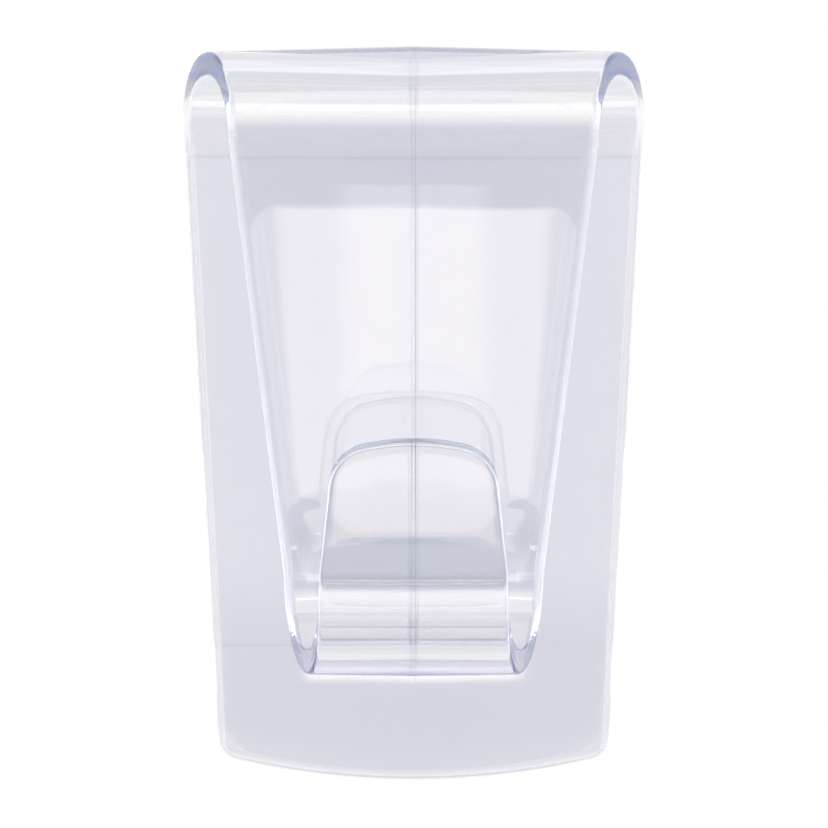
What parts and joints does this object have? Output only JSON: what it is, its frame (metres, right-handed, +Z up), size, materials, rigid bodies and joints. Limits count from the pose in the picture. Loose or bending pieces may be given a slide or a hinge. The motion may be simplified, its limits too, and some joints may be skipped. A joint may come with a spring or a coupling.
{
  "type": "adhesive wall hook",
  "caption": "Clear plastic wall hook: a wide back plate folds over into a narrowing tongue with an upturned lip, held up by a stretch-release adhesive strip with a pull tab.",
  "frame": {"origin": "middle of the wall face of the adhesive strip's stuck area", "axes": "+Z up, +Y into the wall, +X to the right as seen by someone facing the wall; the hook stands out along -Y"},
  "size_m": [0.033, 0.0237, 0.0538],
  "materials": {
    "clear_plastic": "polished clear, faintly blue",
    "clear_adhesive": "clear, tacky",
    "clear_film": "clear stretchy film",
    "cover_film": "clear non-stick film, satin"
  },
  "bodies": {
    "hook": {"hook_moulding": "clear_plastic", "hook_adhesive": "clear_adhesive", "stretch_film": "clear_film", "wall_adhesive": "clear_adhesive"},
    "tab": {"pull_tab": "clear_film", "tab_front_cover": "cover_film", "tab_rear_cover": "cover_film"}
  },
  "joints": [
    {"name": "tab_pull", "type": "slide", "parent": "hook", "child": "tab", "axis": [0, 0, -1], "range_m": [0, 0.12], "stiffness_N_per_m": 120, "deforming": ["hook_adhesive", "stretch_film", "wall_adhesive"]}
  ]
}
